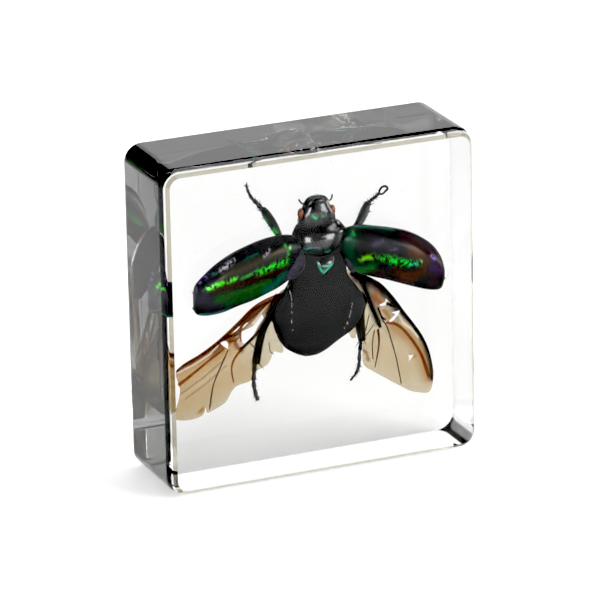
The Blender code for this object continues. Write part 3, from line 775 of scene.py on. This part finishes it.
veins("wing_veins_left", [
    ([(-3.5, 39.7), (-7.6, 39.0), (-11.6, 37.4), (-15.5, 34.2), (-19.8, 30.8), (-24.3, 28.0), (-28.4, 26.1),
      (-30.2, 24.8)], 0.75, 0.25, DARK),
    ([(-19.0, 28.8), (-23.7, 25.7), (-27.3, 23.2), (-30.0, 21.5)], 0.22, 0.42, BROWN),
    ([(-18.2, 28.3), (-19.7, 25.2), (-21.8, 20.5), (-22.9, 14.8)], 0.14, 0.18, "#6A3A14"),
    ([(-14.9, 28.3), (-16.9, 25.8), (-17.5, 23.5), (-17.1, 20.3)], 0.34, 0.14, BROWN),
    ([(-13.0, 29.2), (-11.5, 27.2)], 0.12, 0.12, "#5A3010"),
    ([(-6.4, 39.9), (-7.5, 38.0), (-8.9, 34.7), (-11.1, 31.6), (-14.0, 29.0), (-15.5, 27.9)],
     0.5, 0.34, "#4A220A"),
    ([(-7.9, 38.8), (-11.0, 36.2), (-13.9, 34.3), (-15.3, 32.4), (-15.1, 29.8)], 0.3, 0.2, BROWN),
    ([(-15.7, 31.8), (-17.8, 31.4), (-19.8, 31.2)], 0.25, 0.3, DARK),
    ([(-15.6, 31.0), (-16.6, 30.2), (-18.0, 30.4)], 0.2, 0.2, BROWN),
    ([(-8.6, 28.9), (-8.4, 26.8), (-7.6, 25.9)], 0.1, 0.1, "#7A5A30")], LEFT_REACH)

# %% Right wing
RIGHT_REACH = (12.8, 31.0, 9.9)
RIGHT_WING = [(10.2, 43.3), (13.8, 41.7), (18.6, 38.9), (21.4, 35.8), (24.1, 31.7), (27.0, 27.9),
              (29.4, 24.4), (31.2, 20.4), (31.9, 17.5), (32.3, 14.7), (32.0, 11.6), (31.0, 10.0),
              (28.7, 10.4), (26.4, 11.2), (23.8, 12.9), (21.0, 14.8), (17.2, 17.5), (14.7, 19.4),
              (14.1, 21.5), (14.2, 26.2), (13.0, 28.9), (12.4, 26.7), (11.4, 26.9), (10.6, 28.7),
              (9.8, 32.3), (9.4, 38.3)]
RIGHT_GAPS = [[(20.3, 34.6), (21.9, 32.8), (21.0, 33.2), (20.0, 32.9), (18.9, 33.0), (18.6, 33.4),
               (20.2, 33.8)],
              [(23.9, 31.1), (23.6, 30.2), (22.4, 29.1), (20.8, 28.3), (21.2, 29.2), (22.7, 30.3),
               (21.8, 31.0)],
              [(25.9, 19.9), (26.6, 19.8), (27.4, 19.8), (26.7, 19.0), (25.8, 18.4), (26.2, 19.1)]]
# As on the left wing, the pale line beside the front vein is a painted highlight, and part of the brown
# along the folds is painted shade.
wing("wing_right", RIGHT_WING, RIGHT_GAPS, RIGHT_REACH, [
    ([(25.1, 17.0), (21.0, 21.1), (17.9, 23.2)], 4.5, "#CDB489", 0.6),
    ([(22.0, 27.7), (26.5, 24.0), (29.4, 19.8), (31.0, 13.9)], 1.8, "#B4864A", 0.8),
    ([(12.8, 40.9), (17.8, 38.2), (21.3, 34.9), (24.0, 31.1)], 1.7, "#2C150A", 1.0),
    ([(24.0, 31.1), (27.5, 26.8), (30.0, 22.6), (31.6, 17.5), (32.0, 13.3)], 0.75, "#3A1C0C", 1.0),
    ([(17.3, 35.8), (18.8, 33.8)], 1.1, "#9A5A20", 1.0),
    ([(20.6, 31.0), (19.9, 31.7), (21.1, 29.9)], 0.7, "#A87C3C", 0.9),
    ([(26.8, 19.6), (27.6, 19.3)], 0.5, "#B08A50", 0.8),
    ([(23.6, 30.2), (24.8, 27.8), (26.7, 26.3), (28.5, 23.8)], 0.25, PALE, 0.9),
    ([(14.5, 31.0), (15.1, 34.0), (15.3, 29.2)], 0.6, "#E4D4B0", 0.8),
    ([(14.6, 39.1), (15.8, 36.0), (18.3, 29.4)], 0.9, "#1E0F08", 1.0),
    ([(14.0, 23.6), (15.1, 22.7), (15.6, 20.7)], 0.35, "#8A6428", 0.8)])
veins("wing_veins_right", [
    ([(11.6, 42.3), (15.9, 40.0), (19.3, 37.4), (22.2, 34.0), (24.8, 30.3), (27.9, 26.0), (30.4, 21.6),
      (31.7, 16.9), (32.0, 12.9)], 0.7, 0.22, "#1A0D07"),
    ([(20.5, 28.8), (23.4, 27.6), (26.4, 24.2), (29.3, 19.4), (31.2, 13.6)], 0.3, 0.42, BROWN),
    ([(19.1, 30.2), (20.6, 27.6), (21.7, 23.9), (22.8, 19.8), (24.0, 13.4)], 0.16, 0.13, "#3A2412"),
    ([(18.2, 27.6), (18.4, 24.0), (17.3, 18.6)], 0.3, 0.12, "#6A4A1E"),
    ([(17.3, 27.5), (16.7, 24.3), (16.8, 20.7)], 0.14, 0.12, "#6A4A1E"),
    ([(14.2, 39.9), (15.5, 36.8), (16.3, 34.2), (17.7, 30.7), (18.8, 28.0)], 0.5, 0.42, "#140A06"),
    ([(16.0, 31.5), (15.0, 27.9), (14.3, 26.7)], 0.12, 0.12, "#5A3814"),
    ([(17.1, 28.9), (15.6, 27.2), (14.6, 26.4)], 0.1, 0.1, "#5A3814"),
    ([(18.3, 32.8), (19.1, 30.6), (20.2, 29.5)], 0.3, 0.24, "#5A2C0C"),
    ([(20.6, 33.4), (22.2, 32.4), (23.9, 31.6)], 0.42, 0.3, "#1A0D07")], RIGHT_REACH)

# %% [markdown]
# ## Legs
# A leg has a thick thigh, a shin with teeth for digging, and a foot of five short joints with two
# claws. Shin and foot carry stiff hairs of about 0.6 mm, which show against the white as a fringe.
# The limbs are tubes: each point below gives x, y, z and a radius. A tooth or claw is a cone, with its
# root, its tip and its radius. The hairs are thin cones too, scattered from a fixed seed.

# %% Leg helpers
FOOT_JOINTS = 5
HAIR_RADIUS = 0.07             # a real hair is thinner, but it would be lost in the render
HAIR_COVER = 0.3               # resin left behind the hairs of the feet
HAIR_ROOT = 0.6                # share of the joint's radius where a hair starts
HAIR_LEAN = 0.7                # share of a hair's length that it leans along the joint
JOINT_NECK, JOINT_FLARE = 0.72, 0.5    # a foot joint's near end, and how much wider its far end gets
THINNEST = 0.02                # radius of the tip of a cone


def spine(root, tip, radius):
    """A tooth, spur or hair: a cone from its root to its tip."""
    root, tip = np.array(root, float), np.array(tip, float)
    steps = np.linspace(0, 1, 4)
    radii = [max(radius * (1 - s), THINNEST) for s in steps]
    return tube([root + (tip - root) * s for s in steps], radii, 6)


def foot(points):
    """Short joints in a row, each wider at its far end."""
    path = smooth(points, 10)
    share = np.linspace(0, FOOT_JOINTS, len(path)) % 1.0
    return tube(path[:, :3], path[:, 3] * (JOINT_NECK + JOINT_FLARE * share ** 1.5), 10)


def hairs(points, count, length, seed):
    """Stiff hairs that leave a joint sideways and lean towards its far end."""
    chance = np.random.RandomState(seed)
    path = smooth(points, 12)
    made = []
    for _ in range(count):
        k = chance.randint(0, len(path) - 1)
        along = path[min(k + 1, len(path) - 1), :3] - path[k, :3]
        along /= np.linalg.norm(along)
        away = np.cross(along, chance.normal(size=3))
        away /= np.linalg.norm(away)
        reach = away * (path[k, 3] + length * chance.uniform(0.6, 1.0)) + along * length * HAIR_LEAN
        tip = path[k, :3] + reach
        tip[1] = min(tip[1], BLOCK_HIGH.y - HAIR_COVER)
        made.append(spine(path[k, :3] + away * path[k, 3] * HAIR_ROOT, tip, HAIR_RADIUS))
    return made


print("a leg hair has", len(spine((0, 0, 0), (0, 0, 1), HAIR_RADIUS)[0]), "corners")

# %% Stations of the six legs
LEGS = {
    "fore_leg_left": {
        "thigh": [(0.6, 7.6, 51.0, 1.2), (-3.3, 7.6, 52.0, 1.4), (-5.6, 7.2, 53.0, 0.9)],
        "shin": [(-5.5, 7.0, 53.3, 0.7), (-6.7, 7.7, 56.0, 1.0), (-7.9, 9.8, 58.5, 1.0),
                 (-8.5, 10.7, 59.8, 0.6)],
        "foot": [(-8.5, 10.7, 59.4, 0.62), (-9.8, 10.8, 61.1, 0.56), (-11.0, 11.0, 62.5, 0.42),
                 (-11.9, 11.1, 64.4, 0.34), (-12.2, 11.1, 65.8, 0.26)],
        "teeth": [((-8.1, 10.6, 58.9), (-10.0, 10.7, 59.7), 0.35),
                  ((-7.5, 9.8, 57.3), (-9.1, 9.9, 57.6), 0.35)],
        "claws": [((-12.2, 11.0, 65.6), (-12.3, 10.6, 66.5), 0.14),
                  ((-12.1, 11.0, 65.6), (-11.9, 11.3, 66.5), 0.14)]},
    "fore_leg_right": {
        "thigh": [(4.6, 7.6, 51.0, 1.2), (9.3, 7.6, 51.6, 1.4), (12.6, 7.2, 52.4, 0.9)],
        "shin": [(12.7, 7.0, 52.6, 0.7), (14.3, 7.7, 54.2, 1.0), (16.0, 9.8, 55.9, 1.1),
                 (16.9, 10.7, 57.4, 0.7)],
        "foot": [(17.0, 10.8, 57.1, 0.5), (18.0, 11.0, 57.9, 0.48), (19.0, 11.1, 58.4, 0.44),
                 (19.8, 11.1, 59.1, 0.4)],
        "teeth": [((16.5, 9.8, 56.9), (18.4, 9.9, 57.2), 0.35),
                  ((15.7, 8.7, 55.8), (17.4, 8.8, 55.6), 0.35)],
        "claws": []},
    "mid_leg_left": {
        "thigh": [(0.5, 8.7, 46.0, 1.3), (-4.2, 9.1, 48.1, 1.6), (-6.8, 9.5, 49.2, 1.0)],
        "shin": [(-6.5, 9.7, 49.2, 0.8), (-9.3, 10.0, 46.7, 1.0), (-11.6, 10.2, 44.4, 1.1)],
        "foot": [(-11.4, 10.6, 44.4, 0.5), (-15.3, 10.8, 42.5, 0.45), (-17.9, 10.8, 42.1, 0.3)],
        "teeth": [((-11.2, 10.3, 44.6), (-12.2, 10.5, 42.8), 0.25)], "claws": []},
    "mid_leg_right": {
        "thigh": [(4.5, 8.7, 46.0, 1.3), (9.8, 9.1, 47.7, 1.6), (13.2, 9.5, 48.8, 1.0)],
        "shin": [(13.1, 9.7, 48.8, 0.8), (16.1, 10.0, 45.9, 1.0), (18.3, 10.2, 43.7, 1.1)],
        "foot": [(18.3, 10.6, 43.7, 0.5), (22.5, 10.8, 41.4, 0.45), (25.1, 10.8, 40.9, 0.3)],
        "teeth": [((18.0, 10.3, 43.8), (19.0, 10.5, 41.8), 0.25)], "claws": []},
    "hind_leg_left": {
        "thigh": [(1.0, 8.4, 38.9, 1.7), (-4.1, 9.1, 36.7, 2.0), (-8.0, 9.6, 34.2, 1.3)],
        "shin": [(-7.7, 9.7, 34.4, 0.9), (-9.4, 10.1, 31.1, 0.95), (-10.4, 10.2, 27.6, 1.0),
                 (-11.2, 10.3, 23.6, 1.05)],
        "foot": [(-11.2, 10.8, 23.9, 0.6), (-11.5, 11.0, 21.0, 0.58), (-11.6, 11.0, 18.6, 0.54),
                 (-11.2, 11.1, 16.4, 0.5), (-10.7, 11.1, 14.6, 0.48)],
        "teeth": [((-10.9, 10.6, 24.1), (-8.9, 10.8, 21.6), 0.2),
                  ((-11.3, 10.6, 24.1), (-12.3, 10.8, 22.9), 0.2)],
        "claws": []},
    "hind_leg_right": {
        "thigh": [(5.0, 8.4, 38.9, 1.7), (10.9, 9.1, 37.3, 2.0), (15.2, 9.6, 34.8, 1.4)],
        "shin": [(15.4, 9.7, 35.2, 1.0), (14.2, 10.0, 31.9, 1.35), (14.4, 10.2, 28.9, 1.25),
                 (14.9, 10.3, 25.0, 0.9)],
        "foot": [(14.8, 10.8, 25.1, 0.5), (14.4, 11.0, 21.9, 0.46), (14.2, 11.0, 19.2, 0.46),
                 (13.6, 11.1, 17.4, 0.4), (12.0, 11.1, 15.6, 0.24)],
        "teeth": [((14.4, 10.6, 25.0), (13.3, 10.8, 23.4), 0.2),
                  ((15.3, 10.6, 25.2), (16.0, 10.8, 23.6), 0.2)],
        "claws": []}}
print(len(LEGS), "legs, whose feet reach back to y =", max(leg["foot"][-1][1] for leg in LEGS.values()))

# %% Build the legs
LEG_BLACK = "#0C0D0F"
# Green glints on the left fore shin: painted reflections laid in its colour
PAINTED_GREEN_GLINTS = [([(-9.1, 58.3), (-8.3, 57.3)], 0.35, "#0FA53C", 0.9),
              ([(-8.5, 56.9), (-7.4, 55.7)], 0.45, "#0B5A34", 0.9),
              ([(-7.1, 55.2), (-6.5, 54.4)], 0.35, "#18D43A", 0.9)]
for order, (name, leg) in enumerate(LEGS.items()):
    shapes = []
    for part in ("thigh", "shin"):
        path = smooth(leg[part], 10)
        shapes.append(tube(path[:, :3], path[:, 3], 14))
    shapes.append(foot(leg["foot"]))
    shapes += [spine(*tooth) for tooth in leg["teeth"] + leg["claws"]]
    shapes += hairs(leg["shin"], 40, 0.55, seed=order) + hairs(leg["foot"], 36, 0.6, seed=order + 10)
    made = piece(name, join(shapes), leg_cuticle)
    wash(made.data, "marks", LEG_BLACK, PAINTED_GREEN_GLINTS)

# %% [markdown]
# ## Pale hairs of the back
# A broken line of pale bristles runs along each side of the hind body, where the folded wing rests in
# life. Each is a short cone that starts just under the surface and lies back towards the tail. They
# are joined into one piece, because they are too small to be worth an object each.

# %% Side hairs
HAIR_LINES = [([(-4.6, 42.4), (-3.8, 40.0), (-3.6, 37.4), (-3.7, 33.9), (-3.3, 30.7)], 18),
              ([(11.8, 38.1), (11.1, 35.6), (10.2, 31.9), (9.2, 30.0)], 10)]
BACK_Y, BACK_Z, BACK_SLOPE = 4.35, 40.0, 0.05      # the back's surface falls away towards the tail
PALE_HAIR_RADIUS, HAIR_TONE_MM = 0.09, 0.4
hair_chance = np.random.RandomState(7)
side_hairs = []
for line, count in HAIR_LINES:
    path = smooth(line, 20)
    for x, z in path[hair_chance.choice(len(path), count, replace=False)]:
        surface = BACK_Y + BACK_SLOPE * (BACK_Z - z)
        tip = (x + hair_chance.uniform(-0.15, 0.15), surface - 0.25, z - hair_chance.uniform(0.2, 0.6))
        side_hairs.append(spine((x, surface + 0.1, z), tip, PALE_HAIR_RADIUS))
pale_hair = patchy_material("pale_hair", "#CFC6B4", HAIR_TONE_MM, Roughness=0.5, IOR=1.55)
piece("side_hairs", join(side_hairs), pale_hair)

# %% [markdown]
# ## Claws of the right fore foot
# The last joint of a foot ends in two curved claws. On this foot they close almost to a ring, which
# shows clearly against the white, so they are bent tubes and not cones.

# %% Curved claws
CLAW_RING = [(19.8, 10.9, 59.0), (19.9, 10.6, 59.9), (20.5, 10.5, 60.6), (21.4, 10.5, 60.6),
             (21.8, 10.5, 60.0), (21.3, 10.7, 59.4)]
CLAW_UNDER = [(19.9, 11.0, 58.9), (20.6, 11.2, 58.8), (21.2, 11.2, 59.1), (21.5, 11.0, 59.6)]
claw_shapes = [tube(smooth(line, 6), radius, 8) for line, radius in ((CLAW_RING, 0.26), (CLAW_UNDER, 0.22))]
claws = piece("claws_right", join(claw_shapes), leg_cuticle)
wash(claws.data, "marks", LEG_BLACK, [])

# %% [markdown]
# ## Specks in the resin
# Dust falls into each pour before it sets. A few grains of about 0.2 mm hang in the clear block. How
# deep each of them lies can't be told from one side, so they are all given the same depth.

# %% Dust specks
SPECKS = [(-17.4, 65.8), (-27.0, 64.2), (-14.2, 55.1), (-27.1, 53.8), (-34.7, 44.7), (23.0, 60.5),
          (26.0, 55.0), (-3.0, 20.0), (18.0, 9.0), (30.0, 49.0), (-22.0, 9.5), (6.0, 70.0)]
SPECK_Y, GRAIN_RADIUS, DUST_TONE_MM = 2.5, 0.09, 1.0
dust = patchy_material("settled_dust", "#8C8A84", DUST_TONE_MM, Roughness=0.8)
grains = [spine((x, SPECK_Y, z), (x + 0.05, SPECK_Y + 0.2, z + 0.16), GRAIN_RADIUS) for x, z in SPECKS]
piece("dust_specks", join(grains), dust)

# %% [markdown]
# ## Floor
# The block stands on a plain pale sheet that glows a little, as on a photographer's light table. Clear
# resin shows what is behind and under it, and a glowing sheet keeps the window and the floor white
# around it without strong lamps, which would only shine on the faces. A hair of air under the block
# keeps its lower face a real surface of the resin.

# %% Floor
FLOOR_SIZE = 12.0              # metres, so that its edge is never seen
FLOOR_GLOW = 0.35
AIR_GAP = 0.0001
floor_paint, floor_tree, floor_shader = new_material(
    "pale_floor_paint", Roughness=0.75, Emission_Color=linear("#FFFFFF"), Emission_Strength=FLOOR_GLOW)
floor_place = add(floor_tree, "TexCoord")
floor_noise = add(floor_tree, "TexNoise", {"Vector": floor_place.outputs["Object"], "Scale": 3.0,
                                           "Detail": 3.0})
dress(floor_shader, Base_Color=blend(floor_tree, floor_noise.outputs["Fac"], "#F4F4F3", "#F0F0F0"))
floor_mesh = bpy.data.meshes.new("floor")
half = FLOOR_SIZE / 2
floor_corners = [(x, y, -AIR_GAP) for x, y in ((-half, -half), (half, -half), (half, half), (-half, half))]
floor_mesh.from_pydata(floor_corners, [], [(0, 1, 2, 3)])
floor_mesh.materials.append(floor_paint)
floor = bpy.data.objects.new("floor", floor_mesh)
bpy.context.scene.collection.objects.link(floor)
print("floor", FLOOR_SIZE, "m wide, glowing at", FLOOR_GLOW)

# %% [markdown]
# ## Studio light
# The room is dim, so that the black shell stays black. Two things in it are bright: a low wall around
# the floor, and a round panel behind and above the block, a little brighter at its top, which shines
# through the resin towards the camera. Three soft boxes do the rest. Those to the left and right of
# the camera make the highlights on the shell, and the one above lights the floor around the block.

# %% Room, wall and panel
world = bpy.data.worlds.new("studio")
bpy.context.scene.world = world
world.use_nodes = True
sky = world.node_tree
way = add(sky, "TexCoord")
parts = add(sky, "SeparateXYZ", {"Vector": way.outputs["Generated"]})
ROOM, WALL = 0.04, 0.8
PANEL_LOW, PANEL_HIGH = 1.7, 1.9
WALL_TOP = (0.06, 0.09)        # heights on a ball of radius 1 around the block, where the wall ends
PANEL_EDGE = (0.93, 0.96)      # cosines of the angle from the panel's middle
PANEL_RISE = (0.31, 0.345)     # heights between which the panel gets brighter
PANEL_WAY = Vector((0.365, 0.87, 0.31)).normalized()
SMOOTH = {"interpolation_type": "SMOOTHSTEP"}
wall = fade(sky, parts.outputs["Z"], *WALL_TOP, WALL, ROOM, **SMOOTH)
aside = add(sky, "VectorMath", {0: way.outputs["Generated"], 1: PANEL_WAY}, operation="DOT_PRODUCT")
within = fade(sky, aside.outputs["Value"], *PANEL_EDGE, **SMOOTH)
rise = fade(sky, parts.outputs["Z"], *PANEL_RISE, PANEL_LOW, PANEL_HIGH, **SMOOTH)
panel = add(sky, "Math", {0: within, 1: rise}, operation="MULTIPLY")
level = add(sky, "Math", {0: wall, 1: panel.outputs["Value"]}, operation="MAXIMUM")
background = sky.nodes["Background"]
background.inputs["Color"].default_value = linear("#FFFFFF")
sky.links.new(level.outputs["Value"], background.inputs["Strength"])
print("room", ROOM, "wall", WALL, "panel", PANEL_LOW, "to", PANEL_HIGH)

# %% Soft boxes
# The direction from the beetle, the distance and the size in metres, and the power in watts
TARGET = Vector((3.0, 0.0, 50.0)) * MM
SOFT_BOXES = {"left": ((-0.5, -0.85, 0.14), 1.2, (0.75, 0.8), 30.0),
              "right": ((0.84, -0.53, 0.22), 1.2, (1.2, 0.8), 46.0),
              "top": ((0.177, 0.12, 0.8), 0.83, (0.85, 0.85), 7.2)}
for side, (direction, distance, size, power) in SOFT_BOXES.items():
    lamp = bpy.data.lights.new("soft_box_" + side, "AREA")
    lamp.shape, lamp.energy = "RECTANGLE", power
    lamp.size, lamp.size_y = size
    box = bpy.data.objects.new("soft_box_" + side, lamp)
    box.location = TARGET + Vector(direction).normalized() * distance
    box.rotation_euler = (TARGET - box.location).to_track_quat("-Z", "Y").to_euler()
    bpy.context.scene.collection.objects.link(box)
    print("soft box", side, "of", power, "W at", [round(v, 2) for v in box.location], "m")

# %% [markdown]
# ## Camera
# The camera looks down on the block from a little to its left, from over a metre away through a long
# lens. Its place and lens come from the block's corners and edges in the photograph. It is turned by
# about one degree around its own axis, and aimed a little beside the block's middle.

# %% Camera
AZIMUTH, ELEVATION, ROLL = math.radians(22.76), math.radians(19.34), math.radians(1.18)
DISTANCE, LENS = 1183.4, 317.0
AIM = Vector((0.0, 0.65, 37.5))
AIM_RIGHT, AIM_UP = -0.51, -0.18
back = Vector((-math.sin(AZIMUTH) * math.cos(ELEVATION), -math.cos(AZIMUTH) * math.cos(ELEVATION),
               math.sin(ELEVATION)))
level_right = Vector((math.cos(AZIMUTH), -math.sin(AZIMUTH), 0.0))
level_up = back.cross(level_right)
right = level_right * math.cos(ROLL) - level_up * math.sin(ROLL)
up = level_right * math.sin(ROLL) + level_up * math.cos(ROLL)
eye_point = (AIM + right * AIM_RIGHT + up * AIM_UP + back * DISTANCE) * MM
lens = bpy.data.cameras.new("camera")
lens.lens, lens.sensor_width, lens.clip_start = LENS, 36.0, 0.01
camera = bpy.data.objects.new("camera", lens)
camera.matrix_world = Matrix([[right[k], up[k], back[k], eye_point[k]] for k in range(3)] + [[0, 0, 0, 1]])
bpy.context.scene.collection.objects.link(camera)
bpy.context.scene.camera = camera
print("camera at", [round(v, 3) for v in eye_point], "m, lens", LENS, "mm")

# %% [markdown]
# ## Light paths and film
# Light meets many surfaces on its way through the block, the wings and the wing cases, so it may
# bounce more often than by default. The photograph has full whites and deep blacks, but the front
# face mirrors some of the glowing floor, which veils the blacks. The film's black level takes that
# veil off, and the exposure keeps the whites just full.

# %% Light paths and film
EXPOSURE_STOPS, BLACK_LEVEL = -0.38, 0.097
scene = bpy.context.scene
scene.view_settings.view_transform = "Standard"
scene.view_settings.exposure = EXPOSURE_STOPS
scene.view_settings.use_curve_mapping = True
film = scene.view_settings.curve_mapping
film.black_level = (BLACK_LEVEL, BLACK_LEVEL, BLACK_LEVEL)
film.update()
scene.cycles.max_bounces = 16
scene.cycles.transmission_bounces = 16
scene.cycles.glossy_bounces = 12
scene.cycles.transparent_max_bounces = 16
print("exposure", EXPOSURE_STOPS, "stops, black level", BLACK_LEVEL)
